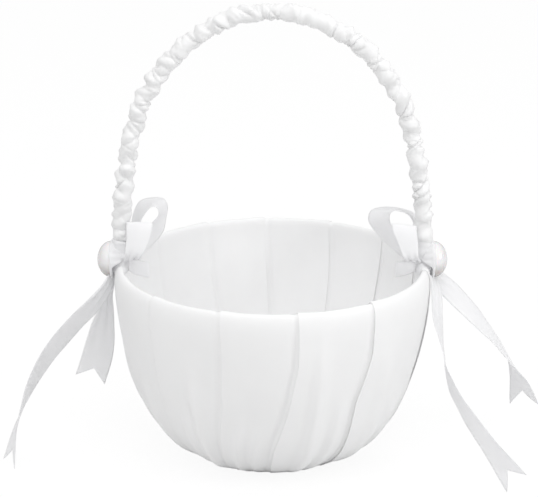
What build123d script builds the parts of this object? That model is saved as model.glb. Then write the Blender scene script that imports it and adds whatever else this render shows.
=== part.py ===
from build123d import *
import os
from math import cos, radians, sin

# Flower girl basket: a padded, satin-covered bowl with a fixed arched handle, and on each
# side a ribbon bow with a half-round pearl and two hanging tails.
# Millimetres. +X runs from the left handle foot to the right one, -Y is the front, +Z is up.
# The origin is the middle of the face that the basket stands on.

# ---- Driving dimensions ----
rim_radius = 100.0
rim_height = 124.0
base_radius = 49.8
handle_height = 283.0
wire_radius = 2.0
sleeve_radius = 5.2
ribbon_width = 20.0
ribbon_thickness = 0.5
pearl_radius = 11.5
pearl_depth = 8.8

# ---- Wall layers, from the outside in ----
fabric = 0.6
wadding_outside = 2.0
former_thickness = 1.8
strip_thickness = 0.8
rivet_room = 0.55
gap = 0.05
clearance = 0.1

wadding_depth = fabric + gap
former_depth = wadding_depth + wadding_outside + gap
former_inside = former_depth + former_thickness
strip_depth = former_inside + 2 * gap
strip_inside = strip_depth + strip_thickness
lining_depth = strip_inside + rivet_room + gap
wall_thickness = lining_depth + fabric

# ---- The bowl's section ----
base_plate = 2.1
rim_start = rim_height - wall_thickness / 2
belly_radius = 86.3
belly_height = 43.5
hem_outside = 36.0
hem_inside = 38.0

# ---- Covered cards under the bowl and on its inside floor ----
base_disc_radius = 44.0
floor_disc_radius = 47.0
cover_skin = 0.4
card = 1.1
cover_hem = 8.0
base_stack = card + 2 * (cover_skin + gap)
floor_pad_thickness = 4.0
floor_pad_edge = 2.0
floor_z = base_plate + wall_thickness + gap
floor_stack = card + floor_pad_thickness + 3 * gap

# ---- Handle: wire arch, flattened feet between the former and the lining ----
leg_x = rim_radius - (strip_depth + strip_inside) / 2
leg_top = 138.0
shoulders = [(92.4, 172.0), (82.6, 220.0), (57.0, 258.5)]
strip_width = 12.0
strip_angle = 7.2
strip_bottom = 99.0
strip_top = 120.0
neck_low = 121.8
neck_top = 126.0
strip_top_width = 8.0
pocket_angle = 8.4
pocket_bottom = 98.0
slot_width = strip_width + 8 * clearance
slot_thickness = 2 * (wire_radius + clearance)

# ---- Rivets, square to the wall ----
rivet_height = 107.0
rivet_shank = 1.5
rivet_hole = 1.55
rivet_head = 3.0
rivet_head_thickness = 0.4
rivet_pocket = 4.0

# ---- Bows: knot, pearl and loops ----
knot_inside = sleeve_radius + clearance
knot_ribbon = 1.1
knot_low = 126.2
knot_top = 137.4
knot_pad_low = 116.0
knot_pad_width = 16.0
knot_pad_corner = 4.0
knot_outside = leg_x + knot_inside + knot_ribbon
pearl_z = 126.0
glue_radius = 6.0
glue_thickness = 0.36
glue_gap = 0.02
pearl_back = knot_outside + glue_thickness + 2 * glue_gap

# ---- Ribbon loops: where their rounded sides swell most, and how their ends close ----
loop_belly = 0.62
loop_rise = 0.4
loop_closed = 4 * ribbon_thickness

# ---- Ribbon tails ----
tail_top_z = 114.4
tail_x = knot_outside
tail_y = 5.0
tail_root_width = 8.0
tail_sections = 6
notch_depth = 11.0


# The outer wall is two arcs that meet smoothly at the belly: a flatter one up to the rim, where
# it stands upright, and a rounder one down to the base's edge.
base_edge = Vector(base_radius, base_plate)
belly = Vector(belly_radius, belly_height)
rim_edge = Vector(rim_radius, rim_start)
across = rim_edge - belly
upper_radius = across.length**2 / (2 * across.X)
upper_centre = rim_edge - Vector(upper_radius, 0)
belly_inward = (upper_centre - belly).normalized()
lower_chord = base_edge - belly
lower_radius = lower_chord.length**2 / (2 * lower_chord.dot(belly_inward))
lower_centre = belly + belly_inward * lower_radius


def inset(point, centre, depth):
    """A point moved in from the outer wall towards its arc's centre."""
    return point + (centre - point).normalized() * depth


def base_point(depth):
    """The point at depth inside the wall, at the base's edge."""
    return inset(base_edge, lower_centre, depth)


def rim_point(depth):
    """The point at depth inside the wall, where the rim's roll starts."""
    return inset(rim_edge, upper_centre, depth)


def wall_point(height, depth):
    """The point at depth inside the upper wall, square to the outer wall at a height."""
    reach = (upper_radius**2 - (height - rim_start) ** 2) ** 0.5
    return inset(Vector(upper_centre.X + reach, height), upper_centre, depth)


def arc_about(centre, start, end):
    """The arc round a centre, by the short way."""
    middle = (start - centre) + (end - centre)
    return ThreePointArc(start, centre + middle.normalized() * (start - centre).length, end)


def layer_curve(depth):
    """One face of a wall layer, from the base's edge to the rim's roll."""
    joint = inset(belly, upper_centre, depth)
    arc_about(lower_centre, base_point(depth), joint)
    arc_about(upper_centre, joint, rim_point(depth))


def rim_arc(outer_depth, inner_depth):
    """Half a circle over the rim, between two depths."""
    outer = rim_point(outer_depth)
    inner = rim_point(inner_depth)
    crest = (outer + inner) / 2 + Vector(0, (inner_depth - outer_depth) / 2)
    return ThreePointArc(outer, crest, inner)


def foot_outline(outer_depth, inner_depth, low, high):
    """The closed section of a strip or pocket that follows the upper wall."""
    outer_low = wall_point(low, outer_depth)
    outer_high = wall_point(high, outer_depth)
    inner_low = wall_point(low, inner_depth)
    inner_high = wall_point(high, inner_depth)
    arc_about(upper_centre, outer_low, outer_high)
    Line(outer_high, inner_high)
    arc_about(upper_centre, inner_high, inner_low)
    Line(inner_low, outer_low)


rivet_foot = wall_point(rivet_height, 0)
rivet_out = (rivet_foot - upper_centre).normalized()
rivet_planes = [
    Plane(
        origin=(side * rivet_foot.X, 0, rivet_foot.Y),
        z_dir=(side * rivet_out.X, 0, rivet_out.Y),
    )
    for side in (1, -1)
]
rim_slots = [(side * leg_x, 0) for side in (1, -1)]


def foot_planes(angle):
    """Upright planes through the axis, half an angle before each handle foot."""
    back = radians(angle / 2)
    return [
        Plane(
            origin=(0, 0, 0),
            x_dir=(side * cos(back), -side * sin(back), 0),
            z_dir=(-side * sin(back), -side * cos(back), 0),
        )
        for side in (1, -1)
    ]


def handle_curve():
    """The handle's centre line: upright at both feet, leaning in at the shoulders, round on top."""
    rising = [(-x, z) for x, z in shoulders]
    falling = shoulders[::-1]
    Line((-leg_x, neck_top), (-leg_x, leg_top))
    Spline(
        [(-leg_x, leg_top), *rising, (0, handle_height), *falling, (leg_x, leg_top)],
        tangents=[(0, 1), (0, -1)],
    )
    Line((leg_x, leg_top), (leg_x, neck_top))


def ribbon_plane(path, share, facing):
    """A plane across a ribbon's path, with its x along the ribbon's width."""
    along = path % share
    return Plane(origin=path @ share, x_dir=along.cross(Vector(facing)), z_dir=along)


os.makedirs("parts", exist_ok=True)


# ---- Bowl former: a moulded plastic bowl that holds the shape ----
with BuildPart() as bowl_former:
    with BuildSketch(Plane.XZ):
        with BuildLine():
            layer_curve(former_depth)
            rim_arc(former_depth, former_inside)
            layer_curve(former_inside)
            Polyline(
                base_point(former_inside),
                (0, base_point(former_inside).Y),
                (0, base_point(former_depth).Y),
                base_point(former_depth),
            )
        make_face()
    revolve(axis=Axis.Z)
    with BuildSketch(*rivet_planes):
        Circle(rivet_hole)
    extrude(amount=-lining_depth, mode=Mode.SUBTRACT)
bowl_former.part.label = "bowl_former"
export_step(bowl_former.part, "parts/bowl_former.step")


# ---- Wadding: one soft sheet folded over the former's rim, with pockets for the feet ----
with BuildPart() as wadding:
    with BuildSketch(Plane.XZ):
        with BuildLine():
            layer_curve(wadding_depth)
            rim_arc(wadding_depth, lining_depth - gap)
            layer_curve(lining_depth - gap)
            Line(base_point(lining_depth - gap), base_point(former_inside + gap))
            layer_curve(former_inside + gap)
            rim_arc(former_depth - gap, former_inside + gap)
            layer_curve(former_depth - gap)
            Line(base_point(former_depth - gap), base_point(wadding_depth))
        make_face()
    revolve(axis=Axis.Z)
    with BuildSketch(*rivet_planes):
        Circle(rivet_pocket)
    extrude(amount=-former_inside, mode=Mode.SUBTRACT)
    with BuildSketch(*foot_planes(pocket_angle)):
        with BuildLine():
            foot_outline((former_depth + former_inside) / 2, wall_thickness, pocket_bottom, rim_start)
        make_face()
    revolve(axis=Axis.Z, revolution_arc=pocket_angle, mode=Mode.SUBTRACT)
    with BuildSketch(Plane.XY.offset(strip_top)):
        with Locations(*rim_slots):
            Rectangle(slot_thickness, slot_width)
    extrude(amount=rim_height - strip_top, mode=Mode.SUBTRACT)
wadding.part.label = "wadding"
export_step(wadding.part, "parts/wadding.step")


# ---- Satin cover: one fabric, gathered under the bowl, up, over the rim and down the inside ----
with BuildPart() as satin_cover:
    with BuildSketch(Plane.XZ):
        with BuildLine():
            layer_curve(0)
            rim_arc(0, wall_thickness)
            layer_curve(wall_thickness)
            Polyline(
                base_point(wall_thickness),
                (hem_inside, base_point(wall_thickness).Y),
                (hem_inside, base_point(lining_depth).Y),
                base_point(lining_depth),
            )
            layer_curve(lining_depth)
            rim_arc(fabric, lining_depth)
            layer_curve(fabric)
            Polyline(
                base_point(fabric),
                (hem_outside, base_point(fabric).Y),
                (hem_outside, base_plate),
                base_point(0),
            )
        make_face()
    revolve(axis=Axis.Z)
    with BuildSketch(Plane.XY.offset(strip_top)):
        with Locations(*rim_slots):
            Rectangle(slot_thickness, slot_width)
    extrude(amount=rim_height - strip_top, mode=Mode.SUBTRACT)
satin_cover.part.label = "satin_cover"
export_step(satin_cover.part, "parts/satin_cover.step")


# ---- Handle core: a wire arch whose ends are flattened into holed feet ----
with BuildPart() as handle_core:
    with BuildSketch(*foot_planes(strip_angle)):
        with BuildLine():
            foot_outline(strip_depth, strip_inside, strip_bottom, strip_top)
        make_face()
    revolve(axis=Axis.Z, revolution_arc=strip_angle)
    with BuildSketch(*rivet_planes):
        Circle(rivet_hole)
    extrude(amount=-lining_depth, mode=Mode.SUBTRACT)
    for foot in rim_slots:
        with BuildSketch(Plane.XY.offset(strip_top)):
            with Locations(foot):
                Rectangle(strip_thickness, strip_top_width)
        extrude(amount=neck_low - strip_top)
        with BuildSketch(Plane.XY.offset(neck_low)):
            with Locations(foot):
                Rectangle(strip_thickness, strip_top_width)
        with BuildSketch(Plane.XY.offset(neck_top)):
            with Locations(foot):
                Circle(wire_radius)
        loft()
    with BuildLine(Plane.XZ) as core_arch:
        handle_curve()
    with BuildSketch(Plane.XY.offset(neck_top)):
        with Locations((-leg_x, 0)):
            Circle(wire_radius)
    sweep(path=core_arch.line)
handle_core.part.label = "handle_core"
export_step(handle_core.part, "parts/handle_core.step")


# ---- Handle sleeve: a satin tube over the wire ----
with BuildPart() as handle_sleeve:
    with BuildLine(Plane.XZ) as sleeve_arch:
        handle_curve()
    with BuildSketch(Plane.XY.offset(neck_top)):
        with Locations((-leg_x, 0)):
            Circle(sleeve_radius)
            Circle(wire_radius + gap, mode=Mode.SUBTRACT)
    sweep(path=sleeve_arch.line)
handle_sleeve.part.label = "handle_sleeve"
export_step(handle_sleeve.part, "parts/handle_sleeve.step")


# ---- Handle rivets: one through each foot and the former ----
with BuildPart() as handle_rivets:
    for rivet_plane in rivet_planes:
        outer_face = former_depth - clearance
        inner_face = strip_inside + clearance
        with BuildSketch(rivet_plane.offset(rivet_head_thickness - outer_face)):
            Circle(rivet_head)
        extrude(amount=-rivet_head_thickness)
        with BuildSketch(rivet_plane.offset(-outer_face)):
            Circle(rivet_shank)
        extrude(amount=outer_face - inner_face)
        with BuildSketch(rivet_plane.offset(-inner_face)):
            Circle(rivet_head)
        extrude(amount=-rivet_head_thickness)
handle_rivets.part.label = "handle_rivets"
export_step(handle_rivets.part, "parts/handle_rivets.step")


# ---- Base: a card disc in its own satin cover, glued under the gathered hem ----
with BuildPart() as base_card:
    with BuildSketch(Plane.XY.offset(cover_skin + gap)):
        Circle(base_disc_radius - cover_skin - gap)
    extrude(amount=card)
base_card.part.label = "base_card"
export_step(base_card.part, "parts/base_card.step")

with BuildPart() as base_satin:
    with BuildSketch():
        Circle(base_disc_radius)
    extrude(amount=base_stack)
    with BuildSketch(Plane.XY.offset(cover_skin)):
        Circle(base_disc_radius - cover_skin)
    extrude(amount=card + 2 * gap, mode=Mode.SUBTRACT)
    with BuildSketch(Plane.XY.offset(cover_skin)):
        Circle(base_disc_radius - cover_hem)
    extrude(amount=base_stack, mode=Mode.SUBTRACT)
base_satin.part.label = "base_satin"
export_step(base_satin.part, "parts/base_satin.step")


# ---- Inside floor: card and soft pad in one satin cover ----
with BuildPart() as floor_card:
    with BuildSketch(Plane.XY.offset(floor_z + cover_skin + gap)):
        Circle(floor_disc_radius - cover_skin - gap)
    extrude(amount=card)
floor_card.part.label = "floor_card"
export_step(floor_card.part, "parts/floor_card.step")

with BuildPart() as floor_pad:
    with BuildSketch(Plane.XY.offset(floor_z + cover_skin + 2 * gap + card)):
        Circle(floor_disc_radius - cover_skin - gap)
    extrude(amount=floor_pad_thickness)
    fillet(floor_pad.faces().sort_by(Axis.Z)[-1].edges(), radius=floor_pad_edge)
floor_pad.part.label = "floor_pad"
export_step(floor_pad.part, "parts/floor_pad.step")

with BuildPart() as floor_satin:
    with BuildSketch(Plane.XY.offset(floor_z)):
        Circle(floor_disc_radius)
    extrude(amount=floor_stack + 2 * cover_skin)
    fillet(floor_satin.faces().sort_by(Axis.Z)[-1].edges(), radius=floor_pad_edge + cover_skin + gap)
    offset(amount=-cover_skin, openings=floor_satin.faces().sort_by(Axis.Z)[0])
    with BuildSketch(Plane.XY.offset(floor_z)):
        Circle(floor_disc_radius)
        Circle(floor_disc_radius - cover_hem, mode=Mode.SUBTRACT)
    extrude(amount=cover_skin)
floor_satin.part.label = "floor_satin"
export_step(floor_satin.part, "parts/floor_satin.step")


# ---- Bows: on each side a knot round the handle foot, a pearl and two loops ----
# Each loop is a closed teardrop of ribbon. Its plane is given by the loop's root, the way the
# loop points, and the ribbon's width; length is how far it reaches and fullness half its opening.
loops = {
    "left_front_loop": {
        "root": (-80.0, -10.5, 129.5),
        "points": (0, 0.12, 0.99),
        "width": (1, 0, 0),
        "length": 26.0,
        "fullness": 5.0,
    },
    "left_back_loop": {
        "root": (-89.5, 17.0, 130.5),
        "points": (0.62, 0, 0.78),
        "width": (0, 1, 0),
        "length": 36.0,
        "fullness": 8.5,
    },
    "right_front_loop": {
        "root": (81.0, -11.5, 129.0),
        "points": (0, 0.12, 0.99),
        "width": (1, 0, 0),
        "length": 25.0,
        "fullness": 5.0,
    },
    "right_back_loop": {
        "root": (90.0, 17.0, 131.0),
        "points": (-0.8, 0, 0.6),
        "width": (0, 1, 0),
        "length": 33.0,
        "fullness": 8.0,
    },
}

# Each tail's path runs from under its knot to its swallowtail end. Its faces are the ways that
# the ribbon looks at the start, in the middle and at the end, so it turns as it hangs.
tails = {
    "left_front_tail": {
        "path": [(-112, -9, 99), (-133, -20, 80), (-151, -33, 53), (-161, -41, 29), (-165, -46, 7)],
        "faces": [(-1, 0, 0.3), (-0.5, -0.6, 0.6), (-0.3, -0.9, 0.3)],
        "open": 0.3,
    },
    "left_back_tail": {
        "path": [(-106, 8, 97), (-110, 9, 78), (-114, 11, 57), (-119, 12, 42)],
        "faces": [(-1, 0, 0.1), (-0.2, -1, 0.1), (-0.1, -1, 0.3)],
        "open": 0.9,
    },
    "right_front_tail": {
        "path": [(104, -12, 97), (107.5, -25, 72), (117, -46, 46), (147, -79, 11)],
        "faces": [(1, 0, 0.2), (1, -0.3, 0.2), (0.3, -0.8, 0.5)],
        "open": 0.3,
    },
    "right_back_tail": {
        "path": [(116, 8, 100), (134, 10, 81), (151, 13, 59), (166, 16, 23)],
        "faces": [(1, 0, 0.5), (0.4, -1, 0.5), (-0.2, -1, 0.2)],
        "open": 0.3,
    },
}


def teardrop(start, end, fullness):
    """A closed teardrop along x, pointed at its start and round at its end."""
    widest = start + loop_belly * (end - start)
    upper = Spline((start, 0), (widest, fullness), (end, 0), tangents=((1, loop_rise), (0, -1)))
    mirror(upper, about=Plane.XZ)


def tail_width(share, open_share):
    """The gathered ribbon opens from its root to its full width over the first stretch."""
    opened = min(1, share / open_share)
    return tail_root_width + (ribbon_width - tail_root_width) * opened


def tail_facing(faces, share):
    """The way that a tail looks at a share of its length."""
    first = 0 if share < 0.5 else 1
    mix = 2 * share - first
    return Vector(faces[first]) * (1 - mix) + Vector(faces[first + 1]) * mix


with BuildPart() as right_knot:
    with BuildSketch(Plane.XY.offset(knot_low)):
        with Locations((leg_x, 0)):
            Circle(knot_outside - leg_x)
            Circle(knot_inside, mode=Mode.SUBTRACT)
    extrude(amount=knot_top - knot_low)
    with BuildSketch(Plane.YZ.offset(leg_x + knot_inside)):
        with Locations((0, (knot_pad_low + knot_top) / 2)):
            RectangleRounded(knot_pad_width, knot_top - knot_pad_low, knot_pad_corner)
    extrude(amount=knot_ribbon)
right_knot.part.label = "right_knot"
export_step(right_knot.part, "parts/right_knot.step")

with BuildPart() as left_knot:
    mirror(right_knot.part, about=Plane.YZ)
left_knot.part.label = "left_knot"
export_step(left_knot.part, "parts/left_knot.step")

with BuildPart() as right_pearl:
    with BuildSketch(Plane.XZ):
        with BuildLine():
            pearl_middle = (pearl_back, pearl_z)
            pearl_arc = EllipticalCenterArc(pearl_middle, pearl_depth, pearl_radius, arc_size=90)
            Polyline(pearl_arc @ 1, pearl_middle, pearl_arc @ 0)
        make_face()
    revolve(axis=Axis((0, 0, pearl_z), (1, 0, 0)))
right_pearl.part.label = "right_pearl"
export_step(right_pearl.part, "parts/right_pearl.step")

with BuildPart() as left_pearl:
    mirror(right_pearl.part, about=Plane.YZ)
left_pearl.part.label = "left_pearl"
export_step(left_pearl.part, "parts/left_pearl.step")

with BuildPart() as glue_dabs:
    for side in (1, -1):
        with BuildSketch(Plane.YZ.offset(side * (knot_outside + glue_gap))):
            with Locations((0, pearl_z)):
                Circle(glue_radius)
        extrude(amount=side * glue_thickness)
glue_dabs.part.label = "glue_dabs"
export_step(glue_dabs.part, "parts/glue_dabs.step")

for name, loop in loops.items():
    loop_plane = Plane(origin=loop["root"], x_dir=loop["points"], z_dir=loop["width"])
    with BuildPart() as ribbon_loop:
        with BuildSketch(loop_plane):
            with BuildLine():
                teardrop(0, loop["length"], loop["fullness"])
            make_face()
            with BuildLine():
                teardrop(
                    loop_closed,
                    loop["length"] - ribbon_thickness,
                    loop["fullness"] - ribbon_thickness,
                )
            make_face(mode=Mode.SUBTRACT)
        extrude(amount=ribbon_width / 2, both=True)
    ribbon_loop.part.label = name
    export_step(ribbon_loop.part, "parts/" + name + ".step")

for name, tail in tails.items():
    side = -1 if name.startswith("left") else 1
    ahead = -1 if "front" in name else 1
    tail_path = Spline((side * tail_x, ahead * tail_y, tail_top_z), *tail["path"])
    with BuildPart() as ribbon_tail:
        for section in range(tail_sections + 1):
            share = section / tail_sections
            with BuildSketch(ribbon_plane(tail_path, share, tail_facing(tail["faces"], share))):
                Rectangle(tail_width(share, tail["open"]), ribbon_thickness)
        loft()
        end_plane = ribbon_plane(tail_path, 1, tail["faces"][-1])
        with BuildSketch(Plane(origin=end_plane.origin, x_dir=end_plane.x_dir, z_dir=-end_plane.y_dir)):
            Polygon(
                (-ribbon_width / 2, 0),
                (ribbon_width / 2, 0),
                (0, -notch_depth),
                align=None,
            )
        extrude(amount=notch_depth, both=True, mode=Mode.SUBTRACT)
    ribbon_tail.part.label = name
    export_step(ribbon_tail.part, "parts/" + name + ".step")
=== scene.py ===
import math

import bpy
import numpy as np
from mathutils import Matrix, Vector


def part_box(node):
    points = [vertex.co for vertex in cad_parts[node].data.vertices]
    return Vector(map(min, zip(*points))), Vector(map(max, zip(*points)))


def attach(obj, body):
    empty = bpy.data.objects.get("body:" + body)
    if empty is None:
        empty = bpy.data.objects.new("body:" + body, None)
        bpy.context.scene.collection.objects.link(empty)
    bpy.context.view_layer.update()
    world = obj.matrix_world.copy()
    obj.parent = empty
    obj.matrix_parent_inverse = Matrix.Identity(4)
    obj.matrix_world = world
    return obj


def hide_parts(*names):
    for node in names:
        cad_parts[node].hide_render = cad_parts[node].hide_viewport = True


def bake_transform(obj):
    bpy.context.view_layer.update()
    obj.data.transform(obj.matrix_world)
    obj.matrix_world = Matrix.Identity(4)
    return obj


# Flower girl basket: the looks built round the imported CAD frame.
# Tables below are in millimetres and degrees; MM turns them into the frame's metres.
# Angles round the bowl are 0 at the front (-Y) and grow towards +X.

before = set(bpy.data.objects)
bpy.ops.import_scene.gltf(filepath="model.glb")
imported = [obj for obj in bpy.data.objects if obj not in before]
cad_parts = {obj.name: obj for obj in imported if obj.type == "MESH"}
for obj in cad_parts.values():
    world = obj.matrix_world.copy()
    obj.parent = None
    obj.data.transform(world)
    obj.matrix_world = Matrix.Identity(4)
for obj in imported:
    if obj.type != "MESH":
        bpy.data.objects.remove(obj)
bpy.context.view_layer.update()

MM = 0.001
rng = np.random.default_rng(7)


def box_mm(node):
    """A CAD node's lowest and highest corners, in millimetres."""
    low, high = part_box(node)
    return np.array(low) / MM, np.array(high) / MM


# ---- sizes taken from the frame
cover_low, cover_high = box_mm("satin_cover")
sleeve_high = box_mm("handle_sleeve")[1]
floor_low, floor_high = box_mm("floor_satin")
pad_low, pad_high = box_mm("floor_pad")
base_low, base_high = box_mm("base_satin")
pearl_low, pearl_high = box_mm("right_pearl")

# The bowl's wall: its thickness, then radius and height where its arcs meet and at its foot.
WALL = 6.6
BELLY = (86.3, 43.5)
BASE_EDGE = (49.8, cover_low[2])
RIM_RADIUS = cover_high[0]
RIM_TOP = 124.0
RIM_START = RIM_TOP - WALL / 2
# The handle's tube and the pearls.
SLEEVE_RADIUS = sleeve_high[1]
LEG_X = sleeve_high[0] - SLEEVE_RADIUS
ARCH_TOP = sleeve_high[2] - SLEEVE_RADIUS
PEARL_BACK = pearl_low[0]
PEARL_Z = (pearl_low[2] + pearl_high[2]) / 2


# ---- small helpers
def unit(v):
    """Vectors of length 1 along the last axis."""
    v = np.asarray(v, float)
    return v / np.maximum(np.linalg.norm(v, axis=-1, keepdims=True), 1e-12)


def smoothstep(x, low, high):
    """0 below low, 1 above high, smooth in between."""
    t = np.clip((np.asarray(x, float) - low) / (high - low), 0, 1)
    return t * t * (3 - 2 * t)


def run_along(points):
    """The length of a line of points from its start to each of them."""
    return np.concatenate([[0], np.cumsum(np.linalg.norm(np.diff(points, axis=0), axis=1))])


def full_turn(count):
    """Angles all the way round, in radians."""
    return np.radians(np.linspace(0, 360, count, endpoint=False))


def round_axis(radius, angle, height):
    """Points about the upright axis; angle 0 is at the front, in radians."""
    return np.stack([radius * np.sin(angle), -radius * np.cos(angle), height], -1)


SPAN_STEPS = 24


def spline(controls, count):
    """A smooth curve through rows of numbers, evenly spaced along its first three."""
    c = np.asarray(controls, float)
    c = np.vstack([2 * c[0] - c[1], c, 2 * c[-1] - c[-2]])
    roots = np.linalg.norm(np.diff(c[:, :3], axis=0), axis=1) ** 0.5
    knots = np.concatenate([[0], np.cumsum(roots)])
    fine = []
    for i in range(1, len(c) - 2):
        for t in np.linspace(knots[i], knots[i + 1], SPAN_STEPS, endpoint=False):
            fine.append(catmull(c[i - 1 : i + 3], knots[i - 1 : i + 3], t))
    fine.append(c[-2])
    fine = np.array(fine)
    length = run_along(fine[:, :3])
    even = np.linspace(0, length[-1], count)
    return np.stack([np.interp(even, length, fine[:, k]) for k in range(fine.shape[1])], 1)


def catmull(p, k, t):
    """One point of a Catmull-Rom span: four rows of numbers, their four knots, and the knot t."""
    a1 = p[0] + (p[1] - p[0]) * (t - k[0]) / (k[1] - k[0])
    a2 = p[1] + (p[2] - p[1]) * (t - k[1]) / (k[2] - k[1])
    a3 = p[2] + (p[3] - p[2]) * (t - k[2]) / (k[3] - k[2])
    b1 = a1 + (a2 - a1) * (t - k[0]) / (k[2] - k[0])
    b2 = a2 + (a3 - a2) * (t - k[1]) / (k[3] - k[1])
    return b1 + (b2 - b1) * (t - k[1]) / (k[2] - k[1])


def grid_faces(rows, columns, close_rows=False, close_columns=False):
    """Quads between the points of a grid; a closed way joins its last points to its first."""
    i = np.arange(rows if close_rows else rows - 1)
    j = np.arange(columns if close_columns else columns - 1)
    i, j = np.meshgrid(i, j, indexing="ij")
    i2, j2 = (i + 1) % rows, (j + 1) % columns
    quads = [i * columns + j, i * columns + j2, i2 * columns + j2, i2 * columns + j]
    return np.stack(quads, -1).reshape(-1, 4)


def in_scene(name, data):
    """A new object with this data, in the scene."""
    made = bpy.data.objects.new(name, data)
    bpy.context.scene.collection.objects.link(made)
    return made


def aim(thing, way):
    """Turns a camera or lamp to look this way."""
    thing.rotation_mode = "QUATERNION"
    thing.rotation_quaternion = Vector(way).to_track_quat("-Z", "Y")


def cloth_map(across, along):
    """Where each point lies on the flat cloth, in millimetres."""
    return np.stack(np.broadcast_arrays(across, along), -1)


def add_piece(name, points, faces, material, uv=None):
    """A smooth mesh object from points in millimetres."""
    mesh = bpy.data.meshes.new(name)
    quads = faces.tolist() if isinstance(faces, np.ndarray) else faces
    mesh.from_pydata((np.asarray(points).reshape(-1, 3) * MM).tolist(), [], quads)
    mesh.polygons.foreach_set("use_smooth", [True] * len(mesh.polygons))
    if uv is not None:
        layer = mesh.uv_layers.new(name="cloth")
        index = np.zeros(len(mesh.loops), int)
        mesh.loops.foreach_get("vertex_index", index)
        layer.data.foreach_set("uv", (uv.reshape(-1, 2) * MM)[index].ravel())
    mesh.validate()
    mesh.materials.append(material)
    piece = in_scene(name, mesh)
    return piece


def stand_in(piece, cad_node):
    """The piece takes a CAD node's place and rides on the basket."""
    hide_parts(cad_node)
    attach(piece, "basket")


def thicken(piece, thickness, offset=-1.0):
    """Gives a sheet its cloth thickness."""
    solid = piece.modifiers.new("cloth", "SOLIDIFY")
    solid.thickness = thickness * MM
    solid.offset = offset
    solid.use_even_offset = False


# ---- materials
def new_material(name):
    """A material, its node tree, and its Principled shader."""
    material = bpy.data.materials.new(name)
    material.use_nodes = True
    tree = material.node_tree
    return material, tree, tree.nodes["Principled BSDF"]


def feed(tree, made, **inputs):
    """Sets a shader node's inputs by name, or by number as i0, i1; a socket as value links."""
    for key, value in inputs.items():
        label = int(key[1:]) if key.startswith("i") else key.replace("_", " ")
        if isinstance(value, bpy.types.NodeSocket):
            tree.links.new(value, made.inputs[label])
        else:
            made.inputs[label].default_value = value


def node(tree, kind, **inputs):
    """A shader node with some of its inputs fed."""
    made = tree.nodes.new(kind)
    feed(tree, made, **inputs)
    return made


def shades(tree, fac, low, high):
    """A colour ramp between two colours."""
    ramp = node(tree, "ShaderNodeValToRGB", Fac=fac)
    ramp.color_ramp.elements[0].color = (*low, 1)
    ramp.color_ramp.elements[1].color = (*high, 1)
    return ramp.outputs["Color"]


def spread(tree, value, low, high):
    """Maps 0..1 onto low..high."""
    return node(tree, "ShaderNodeMapRange", Value=value, To_Min=low, To_Max=high).outputs["Result"]


def noise(tree, vector, scale, detail=3.0):
    """Noise with this many features a metre."""
    made = node(tree, "ShaderNodeTexNoise", Vector=vector, Scale=scale, Detail=detail)
    return made.outputs["Fac"]


def threads(tree, uv, direction, pitch):
    """Parallel threads across a cloth map, one every pitch millimetres."""
    wave = node(tree, "ShaderNodeTexWave", Vector=uv, Scale=0.314 / (pitch * MM), Distortion=0.4)
    wave.bands_direction = direction
    wave.wave_profile = "SIN"
    return wave.outputs["Fac"]


def cloth(name, dark, light, rough, pitch, wrinkle=0.12, sheen=0.25, clear=0.0, glow=0.0):
    """Cloth: warp and weft threads pitch mm apart, crumples wrinkle mm deep, mottled colour
    and shine, a soft sheen. Clear is the share of light let through; glow is a faint painted
    brightness, the cloth emitting light in place of fill light."""
    material, tree, shader = new_material(name)
    uv = node(tree, "ShaderNodeUVMap").outputs["UV"]
    local = node(tree, "ShaderNodeTexCoord").outputs["Object"]
    mottle, gloss = noise(tree, local, 45.0), noise(tree, local, 260.0)
    warp, weft = threads(tree, uv, "X", pitch), threads(tree, uv, "Y", pitch * 1.6)
    weave = node(tree, "ShaderNodeMath", i0=warp, i1=weft).outputs[0]
    crumple = noise(tree, local, 160.0, 4.0)
    fine = node(tree, "ShaderNodeBump", Strength=0.25, Distance=0.02 * MM, Height=weave)
    soft = node(tree, "ShaderNodeBump", Strength=1.0, Distance=wrinkle * MM, Height=crumple)
    feed(tree, soft, Normal=fine.outputs["Normal"])
    feed(tree, shader, Base_Color=shades(tree, mottle, dark, light))
    feed(tree, shader, Roughness=spread(tree, gloss, rough - 0.07, rough + 0.07))
    feed(tree, shader, Normal=soft.outputs["Normal"], Specular_IOR_Level=0.35, Anisotropic=0.35)
    feed(tree, shader, Sheen_Weight=sheen, Sheen_Roughness=0.4)
    # Painted brightness: a faint emission in place of fill light; the cloth is no lamp.
    feed(tree, shader, Emission_Color=(0.98, 0.98, 1.0, 1), Emission_Strength=glow)
    if clear:
        through = node(tree, "ShaderNodeBsdfTranslucent", Color=(*light, 1)).outputs[0]
        mixed = node(tree, "ShaderNodeMixShader", Fac=clear, i1=shader.outputs[0], i2=through)
        feed(tree, tree.nodes["Material Output"], Surface=mixed.outputs[0])
    return material


def solid_finish(name, dark, light, rough, metal=0.0, grain=400.0, bump=0.02, stretch=(1, 1, 1)):
    """A plain moulded, drawn or pressed surface with fine grain."""
    material, tree, shader = new_material(name)
    local = node(tree, "ShaderNodeTexCoord").outputs["Object"]
    placed = node(tree, "ShaderNodeMapping", Vector=local, Scale=stretch).outputs["Vector"]
    grains = noise(tree, placed, grain, 5.0)
    relief = node(tree, "ShaderNodeBump", Strength=0.6, Distance=bump * MM, Height=grains)
    feed(tree, shader, Base_Color=shades(tree, grains, dark, light), Metallic=metal)
    feed(tree, shader, Roughness=spread(tree, grains, rough - 0.08, rough + 0.08))
    feed(tree, shader, Normal=relief.outputs["Normal"])
    return material


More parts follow.
